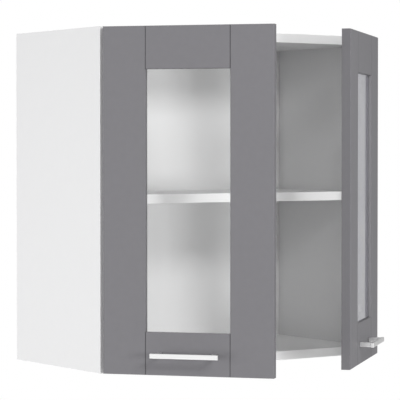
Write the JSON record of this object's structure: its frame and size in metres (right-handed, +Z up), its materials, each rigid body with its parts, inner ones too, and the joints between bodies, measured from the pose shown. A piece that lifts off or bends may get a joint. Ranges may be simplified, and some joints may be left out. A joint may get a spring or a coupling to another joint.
{
  "type": "kitchen wall cabinet",
  "caption": "Wall-hung kitchen cabinet: white carcass with a middle shelf and hinged grey framed glass doors with bar handles, stored ajar.",
  "frame": {"origin": "on the wall plane, in the middle of the width, at the carcass underside", "axes": "+X to the right seen from the front, +Y into the wall, +Z up; the doors face -Y"},
  "size_m": [0.6022, 0.5224, 0.59],
  "materials": {
    "board": "white melamine, satin",
    "edge_band": "white edge banding, satin",
    "back_board": "thin white-faced fibreboard",
    "fitting_steel": "zinc-plated steel",
    "cam_zinc": "die-cast zinc",
    "cap_plastic": "white plastic",
    "hanger_steel": "zinc-plated sheet steel",
    "hinge_steel": "nickel-plated pressed steel",
    "dowel_wood": "beech, raw",
    "door_frame": "grey foil on fibreboard, matt",
    "glass": "clear float glass",
    "seal": "grey seal tape",
    "handle_metal": "satin metal",
    "bumper": "soft clear plastic"
  },
  "bodies": {
    "carcass": {"left_side": "board", "right_side": "board", "top_panel": "board", "bottom_panel": "board", "back_panel": "back_board", "shelf": "board", "side_edge_bands": "edge_band", "panel_edge_bands": "edge_band", "shelf_edge_band": "edge_band", "shelf_pins": "fitting_steel", "carcass_dowels": "dowel_wood", "cam_bolts": "fitting_steel", "cam_locks": "cam_zinc", "cam_caps": "cap_plastic", "left_hanger": "hanger_steel", "right_hanger": "hanger_steel", "hanger_screws": "fitting_steel", "left_hinge_plates": "hinge_steel", "right_hinge_plates": "hinge_steel", "hinge_plate_screws": "fitting_steel", "left_hinge_arms": "hinge_steel", "right_hinge_arms": "hinge_steel", "arm_fixing_screws": "fitting_steel", "arm_adjusting_screws": "fitting_steel"},
    "left_door": {"left_hinge_stile": "door_frame", "left_free_stile": "door_frame", "left_top_rail": "door_frame", "left_bottom_rail": "door_frame", "left_rail_dowels": "dowel_wood", "left_glass": "glass", "left_glass_seal": "seal", "left_glass_beads": "door_frame", "left_bead_nails": "fitting_steel", "left_handle": "handle_metal", "left_handle_screws": "fitting_steel", "left_hinge_cups": "hinge_steel", "left_cup_screws": "fitting_steel", "left_hinge_pins": "hinge_steel", "left_bumpers": "bumper"},
    "right_door": {"right_hinge_stile": "door_frame", "right_free_stile": "door_frame", "right_top_rail": "door_frame", "right_bottom_rail": "door_frame", "right_rail_dowels": "dowel_wood", "right_glass": "glass", "right_glass_seal": "seal", "right_glass_beads": "door_frame", "right_bead_nails": "fitting_steel", "right_handle": "handle_metal", "right_handle_screws": "fitting_steel", "right_hinge_cups": "hinge_steel", "right_cup_screws": "fitting_steel", "right_hinge_pins": "hinge_steel", "right_bumpers": "bumper"}
  },
  "joints": [
    {"name": "left_door_swing", "type": "hinge", "parent": "carcass", "child": "left_door", "pos_m": [-0.291, -0.2963, 0.295], "axis": [0, 0, -1], "range_deg": [-50, 50]},
    {"name": "right_door_swing", "type": "hinge", "parent": "carcass", "child": "right_door", "pos_m": [0.291, -0.2963, 0.295], "axis": [0, 0, 1], "range_deg": [-41, 59]}
  ]
}
